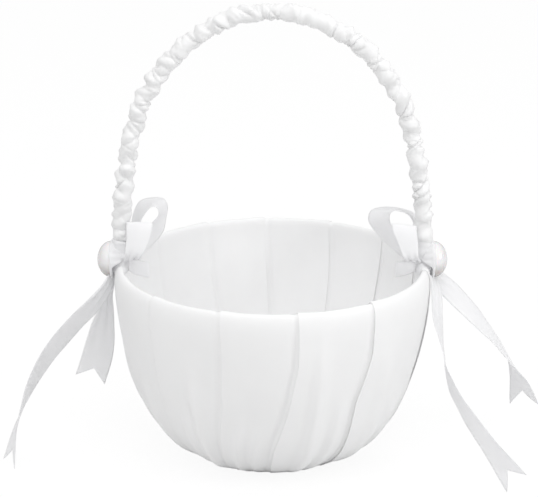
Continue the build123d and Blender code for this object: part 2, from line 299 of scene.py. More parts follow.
def pearl_finish(name):
    """Nacre with a clear coat. Its colour holds painted reflection and shade: bright where it
    faces out and up, greyed mauve underneath and darker at grazing edges, as from a darker
    table reflected.
    """
    material, tree, shader = new_material(name)
    facing = node(tree, "ShaderNodeNewGeometry").outputs["Normal"]
    height = node(tree, "ShaderNodeSeparateXYZ", Vector=facing).outputs["Z"]
    lift = node(tree, "ShaderNodeMapRange", Value=height, From_Min=-0.95, From_Max=0.05)
    # Painted shade and reflection: mauve-grey on faces turned down, near white on faces turned up.
    under = shades(tree, lift.outputs["Result"], (0.36, 0.32, 0.31), (0.9, 0.895, 0.9))
    # Painted edge shade: the colour is multiplied darker where the surface turns edge-on to the
    # view.
    edge = node(tree, "ShaderNodeLayerWeight", Blend=0.35).outputs["Facing"]
    painted_reflection_tint = node(tree, "ShaderNodeMix")
    painted_reflection_tint.data_type = "RGBA"
    painted_reflection_tint.blend_type = "MULTIPLY"
    feed(tree, painted_reflection_tint, i0=edge, i6=under, i7=(0.80, 0.79, 0.78, 1))
    cloud = noise(tree, node(tree, "ShaderNodeTexCoord").outputs["Object"], 300.0)
    feed(tree, shader, Base_Color=painted_reflection_tint.outputs[2], Roughness=spread(tree, cloud, 0.12, 0.22))
    feed(tree, shader, Coat_Weight=0.6, Coat_Roughness=0.05)
    feed(tree, shader, Subsurface_Weight=0.1, Subsurface_Scale=0.002)
    return material


satin = cloth("satin", (0.90, 0.90, 0.902), (0.935, 0.935, 0.937), 0.5, 0.28)
ruched = cloth("ruched_satin", (0.86, 0.86, 0.862), (0.91, 0.91, 0.912), 0.45, 0.28, wrinkle=0.12)
ribbon_tints = (0.93, 0.93, 0.94), (0.96, 0.96, 0.965)
# The ribbons get a faint painted brightness: glow makes them emit light in place of fill light.
ribbon_satin = cloth(
    "ribbon_satin", *ribbon_tints, 0.36, 0.22, 0.05, sheen=0.2, clear=0.3, glow=0.055
)
fleece_tints = (0.86, 0.86, 0.85), (0.92, 0.92, 0.91)
lining = cloth("wadding_fleece", *fleece_tints, 0.9, 0.9, wrinkle=0.5, sheen=0.6)
plastic = solid_finish("former_plastic", (0.80, 0.80, 0.78), (0.85, 0.85, 0.83), 0.55)
board_tints = (0.74, 0.72, 0.67), (0.82, 0.80, 0.76)
board = solid_finish("card_board", *board_tints, 0.85, grain=1500.0, bump=0.04)
wire_tints = (0.50, 0.50, 0.51), (0.66, 0.66, 0.67)
wire = solid_finish("drawn_wire", *wire_tints, 0.3, 1.0, 900.0, 0.01, stretch=(1, 1, 0.1))
rivet = solid_finish("bare_rivet", (0.70, 0.70, 0.71), (0.82, 0.82, 0.83), 0.4, 1.0, 600.0, 0.01)
glue = solid_finish("clear_glue", (0.80, 0.79, 0.70), (0.88, 0.87, 0.80), 0.25, grain=200.0)
pearl = pearl_finish("pearl_nacre")

NODE_FINISH = {
    "bowl_former": plastic,
    "handle_core": wire,
    "handle_rivets": rivet,
    "base_card": board,
    "floor_card": board,
    "glue_dabs": glue,
    "left_pearl": pearl,
    "right_pearl": pearl,
}


# ---- the bowl's wall
def wall_arcs():
    """The two tangent arcs of the outer wall: ((centre, radius) of the lower, of the upper)."""
    base, belly = np.array(BASE_EDGE), np.array(BELLY)
    rim = np.array([RIM_RADIUS, RIM_START])
    across = rim - belly
    upper_radius = across @ across / (2 * across[0])
    upper = rim - np.array([upper_radius, 0])
    inward = unit(upper - belly)
    chord = base - belly
    lower_radius = chord @ chord / (2 * chord @ inward)
    return (belly + inward * lower_radius, lower_radius), (upper, upper_radius)


def arc_points(centre, radius, start, end, count):
    """Points of an arc between two heights, on its outer side."""
    a0, a1 = (math.asin((z - centre[1]) / radius) for z in (start, end))
    a = np.linspace(a0, a1, count)
    return np.stack([centre[0] + radius * np.cos(a), centre[1] + radius * np.sin(a)], 1)


def wall_line(depth, low, high, lower_count, upper_count):
    """The wall at a depth inside its outer face, between two heights, from the bottom up."""
    (lower, lower_radius), (upper, upper_radius) = wall_arcs()
    joint = np.array(BELLY) + unit(upper - np.array(BELLY)) * depth
    first = arc_points(lower, lower_radius - depth, low, joint[1], lower_count)
    second = arc_points(upper, upper_radius - depth, joint[1], high, upper_count)
    return np.vstack([first, second[1:]])


def quarter(centre, radii, start, end, count, power=2.3):
    """Part of a soft-cornered oval, between two angles."""
    a = np.radians(np.linspace(start, end, count))
    c, s = np.cos(a), np.sin(a)
    x = np.sign(c) * np.abs(c) ** (2 / power) * radii[0]
    z = np.sign(s) * np.abs(s) ** (2 / power) * radii[1]
    return np.stack([centre[0] + x, centre[1] + z], 1)


# The padded roll at the rim: heights where it starts outside and inside, radius of its crest.
ROLL_LOW = 112.0
ROLL_INSIDE = 118.5
ROLL_CREST = 95.8
CREST_ROWS = 8
# The hems' inner radii under the bowl and inside it, their rows, and how far a corner is cut.
HEM_UNDER = 36.0
HEM_WITHIN = 38.0
UNDER_ROWS = 7
WITHIN_ROWS = 5
CORNER_CUT = 0.7


def flat_row(start, end, count, height):
    """Points at one height, between two radii."""
    return np.stack([np.linspace(start, end, count), np.full(count, height)], 1)


def cover_profile(depth):
    """Section of the cover, depth under its face: hem, outer wall, padded rim, inner wall, hem.
    Returns points, outward normals, a station (1 at the outer base, 0 at the rim, -1 at the
    inner base), and which rows are outside."""
    low = BASE_EDGE[1] + 0.9
    outer = wall_line(depth, low, ROLL_LOW, 26, 34)
    inner = wall_line(WALL - depth, BASE_EDGE[1] + WALL + 0.6, ROLL_INSIDE, 18, 24)[::-1]
    edge = outer[-1][0]
    top = RIM_TOP - depth
    roll_out = quarter((ROLL_CREST, ROLL_LOW), (edge - ROLL_CREST, top - ROLL_LOW), 0, 90, 12)[1:]
    roll_in_radii = (ROLL_CREST - inner[0][0], top - ROLL_INSIDE)
    roll_in = quarter((ROLL_CREST, ROLL_INSIDE), roll_in_radii, 90, 180, 9)
    under = flat_row(HEM_UNDER, outer[0][0] - CORNER_CUT, UNDER_ROWS, BASE_EDGE[1] + depth)
    within_z = BASE_EDGE[1] + WALL - depth
    within = flat_row(inner[-1][0] - CORNER_CUT, HEM_WITHIN, WITHIN_ROWS, within_z)
    points = np.vstack([under, outer, roll_out, roll_in[1:-1], inner, within])
    along = unit(np.gradient(points, axis=0))
    normals = np.stack([along[:, 1], -along[:, 0]], 1)
    row = np.arange(len(points))
    crest = len(under) + len(outer) + len(roll_out) - 1
    outside = row <= crest
    marks = [crest, crest + CREST_ROWS, len(points) - WITHIN_ROWS]
    inside_station = np.interp(row, marks, [0.0, 0.0, -1.0])
    station = np.where(outside, np.clip((RIM_TOP - points[:, 1]) / RIM_TOP, 0, 1), inside_station)
    return points, normals, station, outside


# Each knife pleat: its depth, then its angle at every pleat station, from the inner base (-1)
# over the rim (0) to the outer base (1).
PLEATS = (
    (1, -98, -97, -98, -99, -101, -104), (0.8, -72, -73, -72, -71, -70, -68),
    (0.9, -44, -46.5, -45.5, -47, -46.5, -48), (1, -19, -18, -17.5, -18, -22.5, -26),
    (1.2, 10, 8.5, 9.5, 6, 0.5, -1), (1.25, 36, 37.5, 37, 32.5, 34, 37),
    (0.9, 78, 80, 79, 78, 76, 75), (1, 100, 101, 100, 99, 97, 96),
    (1, 130.5, 128.5, 129, 130, 132, 133), (1, 153, 155.5, 154, 153, 150, 149),
    (1.1, 181.5, 183, 184, 185, 187, 188), (1, 205, 208.5, 207, 206, 204, 203),
    (1, 234, 236, 237, 238, 236, 235),
)
PLEAT_STATIONS = (-1.0, 0.0, 0.25, 0.5, 0.75, 1.0)
# A pleat's lip stands PLEAT_STEP off the padding and relaxes over PLEAT_RELAX; the panel that
# goes under it dips by PLEAT_VALLEY, VALLEY_BACK before the lip, and is tucked in PLEAT_TUCK deep.
PLEAT_STEP = 1.0
PLEAT_RELAX = 17.0
PLEAT_GAP = 0.1
PLEAT_MEET = 0.25
PLEAT_VALLEY = 0.7
VALLEY_BACK = 2.2
VALLEY_WIDTH = 2.0
PLEAT_TUCK = 3.2
LIP_REACH = 0.7
PLEAT_WANDER = 0.35
# What is left of the pleats' and drapes' height on the hem under the bowl, and where it returns.
HEM_FLAT = 0.08
HEM_RISE = 14.0
# Points along a panel, closer together near the next pleat, and round the folds, in degrees.
PANEL_SHARES = np.concatenate([np.linspace(0, 1, 27)[:-1] ** 1.2 * 0.82, np.linspace(0.82, 1, 12)])
TURN_ANGLES = (45, 90, 135)
RETURN_SHARES = (1.0, 0.66, 0.33, 0.0)
LIP_ANGLES = (20, 50, 80, 110, 140, 165)
# Lengths of cloth along each stretch, for the weave.
PANEL_CLOTH = 27.0
TURN_CLOTH = 0.3
LIP_CLOTH = 2.0

# Soft folds that rise in each panel towards the gathered base:
# top height, top angle, bottom angle, how far it stands out, half width in degrees.
DRAPES = (
    (92, -30.5, -30, 2.2, 3), (60, -11.5, -18.5, 1.3, 2.2), (52, -5, -10, 1, 2.2),
    (125, 18, 14.5, 2, 3.2), (75, 27, 24, 1.4, 2.6), (115, 45, 47, 1.6, 4.5),
    (70, 58, 60, 1.4, 3.5), (62, -38, -39, 0.8, 2.2), (80, -60, -57, 1.4, 3.5),
    (90, 66, 70, 1, 4), (84, -84, -85, 1.5, 3.5), (88, 90, 86, 1.3, 3.5),
    (86, 114, 113, 1.8, 4), (60, 122, 124, 1, 2.6), (90, 142, 141, 1.7, 3.5),
    (76, 166, 166, 1.6, 4), (60, 176, 175, 1.1, 2.6), (92, 196, 195, 1.8, 3.6),
    (84, 221, 220, 1.7, 4), (70, 248, 246, 1.5, 3.6),
)
# Soft bands on the lining, over the wall's whole height: angle at the rim, angle at the bottom,
# how far each stands out, half width in degrees.
LINING_FOLDS = (
    (196, 194, 0.7, 4.5), (168, 167, 0.5, 6), (142, 140, 0.6, 5),
    (119, 122, 0.7, 3.5), (224, 221, 0.6, 6), (248, 246, 0.6, 5),
    (82, 80, 0.5, 5), (50, 52, 0.6, 5), (22, 20, 0.5, 6),
    (-6, -5, 0.6, 5), (-32, -33, 0.5, 5), (-60, -58, 0.6, 5),
)
DRAPE_LIFT = 1.6
DRAPE_FOOT = 8.0
LINING_DEPTH = 115.0


def around(angle, centre):
    """Signed degrees between two angles, the short way."""
    return (angle - centre + 180.0) % 360.0 - 180.0


def drape(angles, heights, outside):
    """How far the cloth stands off the padding between the pleats, row by row."""
    height = heights[:, None]
    out = 0.25 * np.sin(np.radians(angles * 9.0 + height * 0.6)) * smoothstep(110 - height, 0, 60)
    for top, top_angle, low_angle, rise, width in DRAPES:
        down = np.clip((top - height) / (top - DRAPE_FOOT), 0, 1)
        centre = top_angle + (low_angle - top_angle) * down
        d = around(angles, centre) / (width * (1 + 0.35 * down))
        sharp = np.where(d < 0, d * 1.5, d)
        out = out + DRAPE_LIFT * rise * smoothstep(down, 0, 0.45) * np.exp(-sharp**2)
    out = out * (0.35 + 0.65 * smoothstep(height, 3.0, 16.0))
    inside = 0.0 * angles
    for rim_angle, low_angle, rise, width in LINING_FOLDS:
        down = np.clip((RIM_TOP - height) / LINING_DEPTH, 0, 1)
        d = around(angles, rim_angle + (low_angle - rim_angle) * down) / width
        inside = inside + rise * smoothstep(down, 0, 0.2) * np.exp(-(d**2))
    return np.where(outside[:, None], out, inside)


def smoothed(values, passes=6):
    """A row of numbers with its corners rounded off; both ends stay."""
    for _ in range(passes):
        middle = (values[:-2] + 2 * values[1:-1] + values[2:]) / 4
        values = np.concatenate([values[:1], middle, values[-1:]])
    return values


def pleat_angles(station):
    """Each pleat's angle on every row."""
    spans = [np.interp(station, PLEAT_STATIONS, pleat[1:]) for pleat in PLEATS]
    spans = [smoothed(span) for span in spans]
    wander = [PLEAT_WANDER * np.sin(station * 9.0 + k * 2.1) for k in range(len(PLEATS))]
    return np.array(spans) + np.array(wander)


def panel_columns(start, end, tuck, heights, per_mm):
    """One panel, from its own pleat's lip to the next one's tuck: (angle, offset, cloth used)."""
    step, valley, meet = heights
    columns = []
    for share in PANEL_SHARES:
        angle = start + (end + tuck - start) * share
        gone, left = (angle - start) / per_mm, (end - angle) / per_mm
        offset = step * (1 - smoothstep(gone, 0, PLEAT_RELAX))
        offset = offset - valley * np.exp(-(((left - VALLEY_BACK) / VALLEY_WIDTH) ** 2))
        offset = offset + meet * (1 - smoothstep(left, 0.0, VALLEY_BACK))
        columns.append((angle, offset, share * PANEL_CLOTH))
    return columns


def fold_columns(end, tuck, step, meet, per_mm):
    """The tuck's turn, the way back over it and the rolled lip: (angle, offset, cloth used)."""
    columns = []
    turn = PLEAT_GAP / 2
    for a in np.radians(TURN_ANGLES):
        angle = end + tuck + turn * math.sin(a) * per_mm
        columns.append((angle, meet + turn - turn * math.cos(a), PANEL_CLOTH + TURN_CLOTH))
    for share in RETURN_SHARES:
        used = PANEL_CLOTH + 2 * TURN_CLOTH + PLEAT_TUCK * (1 - share)
        columns.append((end + tuck * share, meet + PLEAT_GAP, used))
    lip = (step - meet - PLEAT_GAP) / 2
    for degrees in LIP_ANGLES:
        a = math.radians(degrees)
        angle = end - LIP_REACH * lip * math.sin(a) * per_mm
        offset = meet + PLEAT_GAP + lip - lip * math.cos(a)
        used = PANEL_CLOTH + PLEAT_TUCK + 4 * TURN_CLOTH + degrees / 90
        columns.append((angle, offset, used))
    return columns


def softness(points, station, outside):
    """How much of its height a pleat keeps on each row: less on the rim, inside and at the base."""
    rim = 0.6 + 0.4 * smoothstep(np.abs(station), 0.02, 0.2)
    inner = 1.0 - 0.6 * smoothstep(-station, 0.8, 1.0)
    foot = 0.4 + 0.6 * smoothstep(points[:, 1], 2.5, 14.0)
    return rim * np.where(outside, 1.0, inner) * np.where(outside, foot, 1.0)


def pleated_grid(profile):
    """The whole cover as rows of points: panel, tuck, return and lip of every pleat in turn."""
    points, normals, station, outside = profile
    lips = pleat_angles(station)
    per_mm = np.degrees(1.0 / np.maximum(points[:, 0], 30.0))
    soft = softness(points, station, outside)
    tuck = PLEAT_TUCK * per_mm
    columns = []
    per_pleat = PANEL_CLOTH + PLEAT_TUCK + 4 * TURN_CLOTH + LIP_CLOTH
    for k, pleat in enumerate(PLEATS):
        after = (k + 1) % len(PLEATS)
        start, end = lips[k], lips[after] + (360.0 if after == 0 else 0.0)
        step, step_after = PLEAT_STEP * pleat[0] * soft, PLEAT_STEP * PLEATS[after][0] * soft
        valley, meet = PLEAT_VALLEY * PLEATS[after][0] * soft, PLEAT_MEET * step_after
        pieces = panel_columns(start, end, tuck, (step, valley, meet), per_mm)
        pieces += fold_columns(end, tuck, step_after, meet, per_mm)
        columns += [(angle, offset, k * per_pleat + used) for angle, offset, used in pieces]
    angles = np.array([c[0] for c in columns]).T
    offsets = np.array([c[1] for c in columns]).T + drape(angles, points[:, 1], outside)
    clear = smoothstep(points[:, 0], base_high[0], base_high[0] + HEM_RISE)
    kept = np.where(outside, HEM_FLAT + (1 - HEM_FLAT) * clear, 1.0)
    offsets = offsets * kept[:, None]
    radius = points[:, :1] + normals[:, :1] * offsets
    height = points[:, 1:] + normals[:, 1:] * offsets
    cloth_across = np.array([c[2] for c in columns])[None, :]
    uv = cloth_map(cloth_across, run_along(points)[:, None])
    return round_axis(radius, np.radians(angles), height), uv


# Half sizes of the slits that the handle's feet pass through, and the cloths' thicknesses.
SLIT_X = 2.4
SLIT_Y = 6.6
SATIN_THICKNESS = 0.2
BASE_THICKNESS = 0.25


def build_cover():
    """One pleated satin from the hem under the bowl, over the padded rim, to the hem inside."""
    grid, uv = pleated_grid(cover_profile(0.0))
    rows, columns = grid.shape[:2]
    faces = grid_faces(rows, columns, close_columns=True)
    middle = grid.reshape(-1, 3)[faces].mean(1)
    in_slit = (np.abs(np.abs(middle[:, 0]) - LEG_X) < SLIT_X) & (np.abs(middle[:, 1]) < SLIT_Y)
    faces = faces[~(in_slit & (middle[:, 2] > ROLL_INSIDE))]
    cover = add_piece("pleated_cover", grid, faces, satin, uv)
    thicken(cover, SATIN_THICKNESS)
    stand_in(cover, "satin_cover")


# The fleece: its depths under the cover outside and inside, and half the width of the dips
# that leave room for the handle's feet.
FLEECE_FACE = 1.25
FLEECE_BACK = 2.65
FLEECE_INNER = 4.55
FOOT_HALF = 7.2
RIVET_Z = 107.0
RIVET_ROOM = 4.4
FLEECE_ROWS = 72
FLEECE_COLUMNS = 240


def evenly(line, count):
    """A line of points resampled to this many, evenly spaced."""
    run = run_along(line)
    share = np.linspace(0, 1, count)
    return np.stack([np.interp(share, run / run[-1], line[:, k]) for k in (0, 1)], 1)


def fleece_back():
    """Section of the fleece's back: against the former outside, over its edge, and inside."""
    outer = wall_line(FLEECE_BACK, BASE_EDGE[1] + 3.6, RIM_START, 14, 18)
    inner = wall_line(FLEECE_INNER, BASE_EDGE[1] + 5.2, RIM_START, 14, 18)[::-1]
    middle = (outer[-1][0] + inner[0][0]) / 2
    crest = quarter((middle, RIM_START), (0.95, 0.95), 0, 180, 7, 2.0)
    return np.vstack([outer, crest[1:-1], inner])


def fleece_fullness(back, angles):
    """Share of its full thickness that the fleece keeps, row by row and all the way round."""
    share = np.linspace(0, 1, FLEECE_ROWS)[:, None]
    side_y = LEG_X * np.cos(angles)[None, :]
    z = back[:, 1][:, None]
    inner_side = share > 0.52
    foot = (np.abs(side_y) < FOOT_HALF) & inner_side & (z > 97.5)
    neck = (np.abs(side_y) < FOOT_HALF) & (z > 119.0)
    head = (np.hypot(side_y, z - RIVET_Z) < RIVET_ROOM) & ~inner_side
    full = np.where(foot | neck | head, 0.02, 1.0)
    lump = 1 - 0.1 * (1 + np.sin(angles * 23 + share * 31)) * (0.5 + 0.5 * np.sin(angles * 11))
    return full * lump


def build_wadding():
    """The fleece folded over the former's rim, thinned to nothing round the feet and rivets."""
    face = evenly(cover_profile(FLEECE_FACE)[0][9:-7], FLEECE_ROWS)
    back = evenly(fleece_back(), FLEECE_ROWS)
    angles = full_turn(FLEECE_COLUMNS)
    full = fleece_fullness(back, angles)
    mixed = back[:, None, :] + (face - back)[:, None, :] * full[:, :, None]
    ring = round_axis(mixed[..., 0], angles, mixed[..., 1])
    inside = np.repeat(back[:, None, :], len(angles), 1)
    under = round_axis(inside[..., 0], angles, inside[..., 1])
    grid = np.vstack([ring, under[::-1]])
    faces = grid_faces(len(grid), len(angles), close_rows=True, close_columns=True)
    piece = add_piece("wadding_layer", grid, faces, lining)
    stand_in(piece, "wadding")


# ---- handle
# The arch's middle line: where the sleeve starts, the top of the straight leg, then x, z points.
SLEEVE_START = 124.4
LEG_TOP = 138.0
SHOULDERS = ((94.5, 151), (92.5, 171), (88.8, 195), (82.6, 220), (72.1, 240.7), (57.3, 258.1))
CROWN = ((38, 272.5), (19, 280.4))
RING_STEP = 0.5
RING_POINTS = 48
# Least radius, which clears the wire, and the radius at the sleeve's ends.
WIRE_CLEAR = 2.85
END_RADIUS = 2.3


def arch_line(count):
    """Points along the handle's middle line, evenly spaced from its left foot to its right one."""
    middle = (SLEEVE_START + LEG_TOP) / 2
    half = [(LEG_X, SLEEVE_START), (LEG_X, middle), (LEG_X, LEG_TOP), *SHOULDERS, *CROWN]
    left = [(-x, 0.0, z) for x, z in half]
    right = [(x, 0.0, z) for x, z in half[::-1]]
    return spline([*left, (0.0, 0.0, ARCH_TOP), *right], count)


def creases(s, phi, total, count, depths, widths, slopes, reach):
    """Depth of the deepest of many short creases that cross the tube at their own slants."""
    deepest = np.zeros((len(s), len(phi)))
    for _ in range(count):
        at, way = rng.uniform(0, total), rng.uniform(0, 2 * math.pi)
        depth, width = rng.uniform(*depths), rng.uniform(*widths)
        slope, bend, spanned = rng.uniform(*slopes), rng.uniform(-0.8, 0.8), rng.uniform(*reach)
        turn = (phi[None, :] - way + math.pi) % (2 * math.pi) - math.pi
        run = s[:, None] - at - slope * turn - bend * np.cos(2 * turn)
        side = np.where(run < 0, run / width, run / (1.6 * width))
        ends = 1 - smoothstep(np.abs(turn), 0.55 * spanned, spanned)
        deepest = np.maximum(deepest, depth * ends * np.exp(-(np.abs(side) ** 1.5)))
    return deepest


def puffs(s, phi):
    """Soft lumps of the gathered tube: two wind round it, one leans from side to side."""
    s, phi = s[:, None], phi[None, :]
    lumps = 0.35 * np.sin(s * 0.31 + 2.0 * np.sin(s * 0.083) + phi)
    lumps = lumps + 0.25 * np.sin(s * 0.77 - 2.0 * phi + 3.0 * np.sin(s * 0.05))
    aside = np.cos(phi - 2.4 * np.sin(s * 0.047 + 0.8))
    return lumps + 1.0 * np.sin(s * 0.37 + 1.7 * np.sin(s * 0.11)) * aside


def ruched_radius(s, phi, total):
    """Radius of the gathered tube: uneven puffs between slanting creases, and a thin frill."""
    major = creases(s, phi, total, 110, (0.9, 2.3), (0.7, 1.5), (-3.2, 4.4), (1.4, 3.1))
    minor = creases(s, phi, total, 300, (0.2, 0.6), (0.55, 0.95), (-4.0, 4.0), (0.5, 1.3))
    radius = SLEEVE_RADIUS + 0.3 + puffs(s, phi) - major - minor
    wave = np.clip(0.5 + 0.6 * np.sin(s * 0.9 + 1.6 * np.sin(s * 0.17)), 0.15, 1)
    wander = 10 * np.sin(s * 0.21)[:, None]
    frill = np.exp(-((around(np.degrees(phi)[None, :], wander) / 8.0) ** 2))
    return radius + 0.9 * wave[:, None] * frill


def build_sleeve():
    """The gathered satin tube on the wire arch, closed in at both feet."""
    line = arch_line(2400)
    total = float(np.linalg.norm(np.diff(line, axis=0), axis=1).sum())
    rows = int(total / RING_STEP)
    s = np.linspace(0, total, rows)
    phi = np.linspace(0, 2 * math.pi, RING_POINTS, endpoint=False)
    centre = arch_line(rows)
    along = unit(np.gradient(centre, axis=0))
    front = np.array([0.0, -1.0, 0.0])
    outward = unit(np.cross(front, along))
    radius = np.maximum(ruched_radius(s, phi, total), WIRE_CLEAR)
    ends = smoothstep(np.minimum(s, total - s), -1.0, 2.5)[:, None]
    radius = END_RADIUS + (radius - END_RADIUS) * ends
    around_ring = outward[:, None, :] * np.cos(phi)[None, :, None]
    around_ring = around_ring + front * np.sin(phi)[None, :, None]
    grid = centre[:, None, :] + around_ring * radius[:, :, None]
    uv = cloth_map(phi[None, :] * SLEEVE_RADIUS, s[:, None])
    faces = grid_faces(len(s), len(phi), close_columns=True)[:, ::-1]
    sleeve = add_piece("ruched_sleeve", grid, faces, ruched, uv)
    thicken(sleeve, SATIN_THICKNESS)
    stand_in(sleeve, "handle_sleeve")


# ---- ribbons
# The way that a flat tail faces, towards the front and a little up.
FRONT = unit((0.0, -0.948, 0.317))
RIBBON_THICKNESS = 0.3
ACROSS = 17


def turned_widths(centres, turns):
    """Width directions of a hanging ribbon: turn 0 faces the front, 90 stands edge on."""
    along = unit(np.gradient(centres, axis=0))
    facing = unit(FRONT - (along @ FRONT)[:, None] * along)
    side = np.cross(along, facing)
    turn = np.radians(turns)[:, None]
    return side * np.cos(turn) + facing * np.sin(turn)


def ribbon_grid(centres, widths, camber, notch=0.0, gathers=0.0, open_share=0.3):
    """Rows across a ribbon; widths are half-width vectors. A notch cuts a swallowtail end."""
    run = run_along(centres)
    length = run[-1]
    u = np.linspace(-1, 1, ACROSS)
    share = run / length
    reach = length - notch * (1 - np.abs(u))
    last = smoothstep(share, 0.55, 1.0) * share
    s = run[:, None] * (1 + last[:, None] * (reach[None, :] / length - 1) / max(last[-1], 1e-9))
    centre = np.stack([np.interp(s, run, centres[:, k]) for k in range(3)], -1)
    width = np.stack([np.interp(s, run, widths[:, k]) for k in range(3)], -1)
    along = np.stack([np.interp(s, run, g) for g in unit(np.gradient(centres, axis=0)).T], -1)
    normal = unit(np.cross(width, along))
    bow = camber * (1 - u[None, :] ** 2)
    fade = 1 - smoothstep(share, 0.25 * open_share, 1.1 * open_share)
    bow = bow * (1 - fade[:, None]) + gathers * fade[:, None] * np.cos(u[None, :] * math.pi * 2.5)
    grid = centre + width * u[None, :, None] + normal * bow[:, :, None]
    across = np.linalg.norm(width, axis=-1) * u[None, :]
    return grid, np.stack([across, s], -1)


def ribbon_piece(name, grid, uv):
    """A length of ribbon that stands for its CAD node."""
    faces = grid_faces(*grid.shape[:2])
    piece = add_piece(name + "_ribbon", grid, faces, ribbon_satin, uv)
    thicken(piece, RIBBON_THICKNESS, 0.0)
    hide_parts(name)
    return piece


# Hanging tails: centre x, y, z and turn at points along each.
TAILS = {
    "left_front_tail": (
        (-101.5, -4, 117, 74), (-105, -6, 109, 66),
        (-114, -9, 97.5, 64), (-123, -14, 89.5, 64),
        (-133, -20, 79.5, 64), (-140, -25, 71.5, 68),
        (-146, -29, 62.5, 73), (-152, -33, 51.5, 81),
        (-156, -37, 42, 90), (-160.5, -41, 29, 102),
        (-165.5, -46, 5.5, 121),
    ),
    "left_back_tail": (
        (-101.6, 4.5, 117, 80), (-104, 5, 108, 66),
        (-106.5, 6, 99.5, 58), (-108, 7, 88.5, 50),
        (-110, 8, 77.5, 38), (-112, 9, 65.5, 26),
        (-114.5, 10, 54.5, 14), (-119.5, 11, 39, 2),
    ),
    "right_front_tail": (
        (101.5, -4, 117, 62), (103.5, -8, 107, 60),
        (104.5, -14, 91, 66), (106, -19, 81, 76),
        (107.5, -25, 72, 82), (108.5, -30, 64.5, 87),
        (112, -38, 54.5, 99), (117.5, -46, 45.5, 104),
        (122, -52, 39.5, 110), (134, -66, 25.5, 118),
        (148.5, -80, 9, 140),
    ),
    "right_back_tail": (
        (101.6, 4.5, 117, 45), (107, 6, 109.5, 46),
        (116, 8, 100.5, 50), (124.5, 9, 91.5, 53),
        (134, 10, 81, 59), (143, 12, 70, 69),
        (151, 13, 59, 75), (157.5, 14, 48.5, 88),
        (162.5, 15, 38, 112), (167, 16, 19.5, 148),
    ),
}
# The share of its length over which each opens to full width, and its swallowtail's depth.
TAIL_ENDS = {
    "left_front_tail": (0.24, 10.0),
    "left_back_tail": (0.75, 9.0),
    "right_front_tail": (0.25, 10.0),
    "right_back_tail": (0.2, 10.0),
}
TAIL_ROOT_HALF = 4.2
RIBBON_HALF = 10.0
TAIL_CAMBER = 0.6
TAIL_GATHERS = 0.9
TAIL_ROWS = 110


def build_tails():
    """Four swallowtail ribbon ends; each bends down from the knot."""
    for name, controls in TAILS.items():
        path = spline(controls, TAIL_ROWS)
        opening, notch = TAIL_ENDS[name]
        centres, turns = path[:, :3], path[:, 3]
        share = np.linspace(0, 1, TAIL_ROWS)
        half = TAIL_ROOT_HALF + (RIBBON_HALF - TAIL_ROOT_HALF) * smoothstep(share, -0.1, opening)
        widths = turned_widths(centres, turns) * half[:, None]
        grid, uv = ribbon_grid(centres, widths, TAIL_CAMBER, notch, TAIL_GATHERS, opening)
        piece = ribbon_piece(name, grid, uv)
        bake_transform(piece)


# Bow loops: centre x, y, z and the half-width vector at points along each.
LOOPS = {
    "left_back_loop": (
        (-92.5, 4, 124, 0.5, 4, 2), (-90, 6.5, 133, -1, 6.5, 1),
        (-88.3, 8.5, 141.5, -2, 8.5, 1), (-86.3, 10.5, 149, -2.6, 9.4, 1),
        (-83, 12, 155.5, -2, 9.5, 2), (-76.5, 13, 159.5, -0.3, 10, 0.2),
        (-71, 13, 158.8, 1.4, 9.8, 0.2), (-69.3, 12.5, 154.5, 2.2, 9.7, -0.2),
        (-71.3, 11, 149, 3.4, 9.2, -1.5), (-74.5, 9, 143.5, 5, 7.8, -3.6),
        (-80, 6, 136.5, 4.6, 5.5, -4), (-86.5, 3, 129.5, 3, 3.5, -3),
        (-91.5, 1, 125, 1.5, 3, -2),
    ),
    "left_front_loop": (
        (-89.5, -7, 126.5, 4, -0.8, 0), (-86.5, -13, 133, 5.6, -1.2, 0),
        (-84, -11, 141.5, 7.2, -1, 0), (-83, -8, 148.5, 8.2, -0.6, 0),
        (-83, -5, 151.5, 8.3, -0.3, 0), (-83.5, -3.2, 148, 8, 0, 0),
        (-85.5, -4.5, 138.5, 5, 0, 0), (-89, -5, 128, 3.5, 0, 0),
    ),
    "right_back_loop": (
        (92.5, 4, 124, -0.5, 4, 1), (93, 7, 134, 0.5, 7, 0.5),
        (91.8, 10, 144.5, 1.5, 9.2, 0), (89, 12, 151, 1.5, 9.8, -1),
        (84, 13, 153.8, 0.2, 9.9, -1.6), (78, 13, 155.2, -0.2, 9.9, -1.7),
        (72.5, 13, 154.6, -2, 9.6, -1), (68.6, 12.5, 151.5, -5.2, 8.4, 0.4),
        (68.4, 11, 146.5, -7, 7, 0), (72, 9, 140.5, -6.2, 6.5, -1),
        (78, 6, 133.5, -4.6, 4.8, -1.2), (84.5, 3, 127.5, -3, 3.2, -1),
        (91.5, 1.5, 124.5, -1.5, 2.6, -1),
    ),
    "right_front_loop": (
        (89.8, -7, 126, 4, 0.8, 0), (86.5, -13, 131.5, 4.8, 1, 0),
        (84.5, -11.5, 140, 6.4, 0.8, -0.3), (82.5, -8.5, 147, 7.6, 0.5, -0.8),
        (82.3, -5.5, 150.3, 7.8, 0.2, -0.9), (83, -4.4, 147, 7.4, 0, -0.6),
        (85.5, -5.3, 137.5, 4.8, 0, 0), (89, -5.6, 128, 3.5, 0, 0),
    ),
}
LOOP_ROWS = 90
LOOP_CAMBER = 0.5
LOOP_GATHERS = 0.7


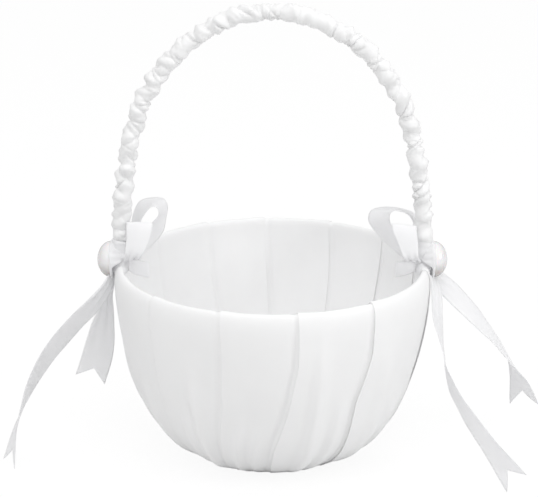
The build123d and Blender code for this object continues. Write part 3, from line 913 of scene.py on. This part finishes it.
def build_loops():
    """The bow's four loops, gathered at the knot and rounded at their ends."""
    for name, controls in LOOPS.items():
        path = spline(controls, LOOP_ROWS)
        pinch = 1 - smoothstep(np.linspace(0, 1, LOOP_ROWS), 0, 0.3)
        pinch = np.maximum(pinch, pinch[::-1])
        grid, uv = ribbon_grid(path[:, :3], path[:, 3:], LOOP_CAMBER)
        u = np.linspace(-1, 1, ACROSS)
        normal = unit(np.cross(path[:, 3:], np.gradient(path[:, :3], axis=0)))
        gathers = LOOP_GATHERS * pinch[:, None] * np.cos(u * 7.5)[None, :]
        grid = grid + normal[:, None, :] * gathers[:, :, None]
        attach(ribbon_piece(name, grid, uv), "basket")


# ---- knots
# The wound band: height of its low end, its length, radius at the ends and how far it swells.
BAND_LOW = 118.5
BAND_LENGTH = 20.5
BAND_RADIUS = 4.7
BAND_SWELL = 1.9


def knot_band(side):
    """Ribbon wound tight round the handle's foot, in soft uneven turns."""
    around_leg = full_turn(72)
    t = np.linspace(0, 1, 48)
    level = BAND_LOW + BAND_LENGTH * t
    low = 1.3 * np.cos(around_leg - 0.4)
    z = level[:, None] + low[None, :] * (1 - 2 * t[:, None])
    bulge = np.sin(math.pi * t) ** 0.35
    turns = t[:, None] * 13.0 + 0.9 * np.sin(around_leg)[None, :] * side + 0.6
    folds = 0.42 * np.sin(turns) + 0.12 * np.sin(2.3 * turns + 1.0)
    radius = BAND_RADIUS + (BAND_SWELL + folds) * bulge[:, None]
    skirt = 1 + 0.55 * (1 - smoothstep(t, 0.1, 0.42))[:, None]
    x = side * LEG_X + radius * np.cos(around_leg)[None, :]
    y = radius * 1.1 * skirt * np.sin(around_leg)[None, :]
    grid = np.stack([x, y, z], -1)
    faces = grid_faces(*grid.shape[:2], close_columns=True)
    uv = cloth_map(around_leg[None, :] * 6.5, z)
    return grid, faces, uv


# The rosette's section: how far in front of the pearl's back, then its radius.
ROSETTE_SECTION = (
    (-0.3, 1.5), (-0.3, 6), (-0.25, 10.2),
    (0.35, 11.9), (-0.4, 12.3), (-2, 11.8),
    (-4.5, 10.6), (-7, 8.8), (-8.5, 7),
)
# Middle line of the lower loop on the right foot: out from the knot, round and back.
FOOT_WRAP = (
    (90, -7.5, 125), (86, -10.5, 124.3), (80, -11, 123),
    (77.3, -10, 122.2), (80, -9.2, 122.6), (86, -8.4, 124),
    (89.5, -7, 124.8),
)
WRAP_HALF = 4.4


def rosette(side):
    """Gathered ribbon behind the pearl: a puffed ring that thins where it lies on the rim."""
    spokes = full_turn(120)
    section = spline([(x, r, 0.0) for x, r in ROSETTE_SECTION], 34)
    back, out = section[:, 0][:, None], section[:, 1][:, None]
    gathers = np.sin(spokes * 15 + 2 * np.sin(spokes * 2))[None, :]
    reach = 1 + 0.02 * np.sin(spokes * 3 + 0.5)[None, :]
    reach = reach + 0.025 * gathers * smoothstep(-back, 0.3, 2.0)
    y = out * reach * np.cos(spokes)[None, :] * side
    z = PEARL_Z + out * reach * np.sin(spokes)[None, :]
    room = 1.1 + 8.0 * smoothstep(z, RIM_TOP - 1.0, RIM_TOP + 5.0)
    away = PEARL_BACK + np.where(back < 0, np.maximum(back, -room), back)
    grid = np.stack([side * away, y, z], -1)
    faces = grid_faces(*grid.shape[:2], close_columns=True)[:, ::-1]
    uv = cloth_map(spokes[None, :] * 8.0, section[:, 1][:, None])
    return grid, faces, uv


def foot_wrap(side):
    """The short lower loop of ribbon on the foot's inner side, below the front loop."""
    t = np.linspace(0, 1, 40)
    u = np.linspace(-1, 1, 15)
    path = spline(FOOT_WRAP, 40)
    half = WRAP_HALF + 0.6 * np.sin(math.pi * t)
    folds = 0.35 * (1 - np.sin(math.pi * t))[:, None] * np.cos(u * 8.0)[None, :]
    bulge = 0.5 * np.cos(u * 1.4)[None, :] + folds
    x = side * (path[:, 0][:, None] - bulge * 0.4)
    y = path[:, 1][:, None] - bulge
    z = path[:, 2][:, None] + half[:, None] * u[None, :]
    uv = cloth_map(t[:, None] * 30.0, half[:, None] * u[None, :])
    return np.stack([x, y, z], -1), grid_faces(len(t), len(u)), uv


def build_knots():
    """The wound knots, their gathered backs and the short bands inside the feet."""
    for side, label in ((-1, "left"), (1, "right")):
        for shape in (knot_band, rosette, foot_wrap):
            grid, faces, uv = shape(side)
            name = f"{label}_{shape.__name__}"
            piece = add_piece(name, grid, faces, ribbon_satin, uv)
            thicken(piece, RIBBON_THICKNESS)
            stand_in(piece, label + "_knot")


# ---- floor and base discs
def rings(radii, heights, count, wobble=0.0):
    """Rings of points about the upright axis, with a little unevenness."""
    a = full_turn(count)
    r = np.asarray(radii)[:, None] * np.ones(count)
    z = np.asarray(heights)[:, None] + wobble * np.sin(a * 17 + np.asarray(radii)[:, None] * 0.3)
    return round_axis(r, a, z)


def disc_faces(rows, count):
    """Ring quads, and a flat face on the first and on the last ring."""
    quads = grid_faces(rows, count, close_columns=True).tolist()
    return quads + [list(range(count))[::-1], list(range((rows - 1) * count, rows * count))]


# Cloth simulation of the floor cushion: its steps, pressure, and how far a point may move.
PUFF_STEPS = 15
PUFF_PRESSURE = 1.5
PUFF_CAP = 1.2


def puff_up(piece, pressure, cap):
    """Cloth simulation: the closed cover is blown up from within, and its low face stays put."""
    group = piece.vertex_groups.new(name="held")
    rest = np.array([v.co for v in piece.data.vertices])
    low = rest[:, 2].min() + 0.4 * MM
    held = [int(i) for i in np.where(rest[:, 2] < low)[0]]
    group.add(held, 1.0, "REPLACE")
    sim = piece.modifiers.new("cloth_sim", "CLOTH")
    sim.settings.quality = 6
    sim.settings.mass = 0.12
    sim.settings.tension_stiffness = 12
    sim.settings.compression_stiffness = 12
    sim.settings.bending_stiffness = 0.3
    sim.settings.use_pressure = True
    sim.settings.uniform_pressure_force = pressure
    sim.settings.vertex_group_mass = "held"
    sim.settings.effector_weights.gravity = 0.0
    sim.collision_settings.use_collision = False
    scene = bpy.context.scene
    for step in range(1, PUFF_STEPS + 1):
        scene.frame_set(step)
    shaped = piece.evaluated_get(bpy.context.evaluated_depsgraph_get())
    moved = np.array([v.co for v in shaped.data.vertices])
    piece.modifiers.clear()
    scene.frame_set(1)
    shift = moved - rest
    far = np.linalg.norm(shift, axis=1, keepdims=True)
    shift = shift * np.minimum(1.0, cap * MM / np.maximum(far, 1e-9))
    piece.data.vertices.foreach_set("co", (rest + shift).astype(np.float32).ravel())
    piece.data.update()


def pucker(piece, edge, top):
    """Draws the satin into small radial puckers near its sewn edge."""
    co = np.array([v.co for v in piece.data.vertices]) / MM
    r = np.hypot(co[:, 0], co[:, 1])
    a = np.arctan2(co[:, 0], -co[:, 1])
    near = smoothstep(r, edge - 16, edge - 1) * smoothstep(co[:, 2], top - 4.5, top - 2.0)
    co[:, 2] += near * (0.28 * np.sin(a * 31 + 2 * np.sin(a * 3)) + 0.12 * np.sin(a * 53))
    piece.data.vertices.foreach_set("co", (co * MM).astype(np.float32).ravel())
    piece.data.update()


def build_floor():
    """The padded floor: its satin, blown up by cloth simulation and quilted in, and its fleece."""
    low, high = floor_low[2], floor_high[2]
    edge = floor_high[0] - 0.6
    radii = [edge - 9, edge - 5, edge - 1, edge, edge, edge - 0.8, edge - 3, edge - 7]
    heights = [low, low, low + 0.1, low + 1.0, high - 3.0, high - 1.6, high - 0.9, high - 0.7]
    radii += list(np.linspace(edge - 11, 1.5, 12))
    heights += [high - 0.7] * 12
    grid, faces = rings(radii, heights, 120, 0.08), disc_faces(len(radii), 120)
    cushion = add_piece("floor_cushion", grid, faces, satin)
    puff_up(cushion, PUFF_PRESSURE, PUFF_CAP)
    pucker(cushion, edge, high)
    stand_in(cushion, "floor_satin")
    top, bottom = pad_high[2] - 0.3, pad_low[2] + 0.05
    wide = pad_high[0] - 0.4
    radii = [2.0, wide - 1.5, wide, wide, wide - 2.0, wide - 8, wide - 20, 2.0]
    heights = [bottom, bottom, bottom + 0.6, top - 2.0, top - 0.5, top - 0.25, top - 0.1, top - 0.1]
    grid, faces = rings(radii, heights, 72, 0.06), disc_faces(len(radii), 72)
    fill = add_piece("floor_padding", grid, faces, lining)
    stand_in(fill, "floor_pad")


BASE_ROUND = 144
BASE_FACE_RINGS = 7


def build_base():
    """The satin-covered disc under the bowl: flat face, rolled edge, gathered hem on top."""
    low, high = base_low[2], base_high[2]
    edge = base_high[0]
    radii = [1.5, 10, 20, 30, 37, 41, edge - 1.2, edge - 0.3, edge]
    radii += [edge - 0.3, edge - 1.2, edge - 4, edge - 8]
    heights = [low] * 6 + [low + 0.05, low + 0.4, low + 1.0, low + 1.6, high - 0.05, high, high]
    grid = rings(radii, heights, BASE_ROUND)
    a = full_turn(BASE_ROUND)
    gather = 0.09 * (1 + np.sin(a * 36 + 3 * np.sin(a * 2)))
    near = smoothstep(np.array(radii[:BASE_FACE_RINGS]), 34, edge)[:, None]
    grid[:BASE_FACE_RINGS, :, 2] += near * gather[None, :]
    faces = disc_faces(len(radii), BASE_ROUND)[:-1]
    cover = add_piece("base_cover", grid, faces, satin)
    thicken(cover, BASE_THICKNESS)
    stand_in(cover, "base_satin")


# ---- studio
VIEW_TARGET = (-2.1, 2.7, 132.1)
VIEW_DISTANCE = 1000.0
VIEW_ELEVATION = 18.5
VIEW_LENS = 105.7


def build_camera():
    """The camera: straight on to the front and a little above."""
    data = bpy.data.cameras.new("camera")
    data.lens = VIEW_LENS
    data.clip_start, data.clip_end = 0.01, 50.0
    camera = in_scene("camera", data)
    e = math.radians(VIEW_ELEVATION)
    place = np.array([0.0, -math.cos(e), math.sin(e)]) * VIEW_DISTANCE
    place = place + np.array([0.0, 0.0, RIM_TOP])
    camera.location = (place * MM).tolist()
    aim(camera, (np.array(VIEW_TARGET) - place).tolist())
    bpy.context.scene.camera = camera


# Soft boxes: place and size in metres, power in watts. Then the glow inside the bowl.
SOFT_BOXES = {
    "top": ((0.1, -0.6, 1.5), 0.9, 6.9),
    "key": ((1.4, -0.5, 0.6), 0.5, 4.6),
    "fill": ((-1.2, -1.0, 0.9), 0.8, 2.7),
}
BOUNCE = ((0.0, -0.02, 0.085), 0.05, 0.012)
LIGHT_TARGET = (0, 0, 0.12)


def area_light(name, place, size, power):
    """A square soft box aimed at the basket's middle."""
    data = bpy.data.lights.new(name, "AREA")
    data.size = size
    data.energy = power
    lamp = in_scene(name, data)
    lamp.location = place
    aim(lamp, Vector(LIGHT_TARGET) - Vector(place))


def bounce_light(place, radius, power):
    """A faint unseen glow inside the bowl, as from a white card held over it."""
    data = bpy.data.lights.new("bounce", "POINT")
    data.shadow_soft_size = radius
    data.energy = power
    lamp = in_scene("bounce", data)
    lamp.location = place
    lamp.visible_camera = False


def seen_or_cast(tree, seen, cast):
    """One value for what the camera sees, another for the light that a surface casts."""
    path = node(tree, "ShaderNodeLightPath")
    return spread(tree, path.outputs["Is Camera Ray"], cast, seen)


def floor_finish():
    """Pale paper. The camera sees it mostly as a plain glow, so the contact shadow is faint."""
    material, tree, shader = new_material("studio_paper")
    grain = noise(tree, node(tree, "ShaderNodeTexCoord").outputs["Object"], 900.0)
    paper = shades(tree, grain, (0.78, 0.78, 0.78), (0.82, 0.82, 0.82))
    glow = node(tree, "ShaderNodeEmission", Strength=1.04).outputs[0]
    diffuse = node(tree, "ShaderNodeBsdfDiffuse", Color=paper).outputs[0]
    shared = seen_or_cast(tree, 0.88, 0.0)
    mixed = node(tree, "ShaderNodeMixShader", Fac=shared, i1=diffuse, i2=glow)
    feed(tree, tree.nodes["Material Output"], Surface=mixed.outputs[0])
    tree.nodes.remove(shader)
    return material


# Strength of the surround's light level with the horizon and overhead; half the floor's side.
WORLD_HORIZON = 0.45
WORLD_ZENITH = 0.86
FLOOR_REACH = 6.0


def build_world():
    """A white surround, brighter overhead, that the camera sees as plain white."""
    world = bpy.data.worlds.new("studio")
    world.use_nodes = True
    tree = world.node_tree
    background = tree.nodes["Background"]
    away = node(tree, "ShaderNodeTexCoord").outputs["Generated"]
    height = node(tree, "ShaderNodeSeparateXYZ", Vector=away).outputs["Z"]
    light = spread(tree, height, WORLD_HORIZON, WORLD_ZENITH)
    path = node(tree, "ShaderNodeLightPath").outputs["Is Camera Ray"]
    mixed = node(tree, "ShaderNodeMix", i0=path, i2=light, i3=1.0)
    feed(tree, background, Color=(1.0, 1.0, 1.0, 1.0), Strength=mixed.outputs[0])
    bpy.context.scene.world = world


def build_studio():
    """White floor, three soft boxes, a faint glow in the bowl and a white surround."""
    corners = np.array([(-1, -1, 0), (1, -1, 0), (1, 1, 0), (-1, 1, 0)]) * FLOOR_REACH / MM
    floor = add_piece("studio_floor", corners, [[0, 1, 2, 3]], floor_finish())
    for name, (place, size, power) in SOFT_BOXES.items():
        area_light(name, place, size, power)
    bounce_light(*BOUNCE)
    build_world()
    bpy.context.scene.view_settings.view_transform = "Standard"


for cad_node, finish in NODE_FINISH.items():
    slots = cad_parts[cad_node].data.materials
    slots.clear()
    slots.append(finish)

build_cover()
build_wadding()
build_sleeve()
build_knots()
build_loops()
build_tails()
build_floor()
build_base()
build_camera()
build_studio()
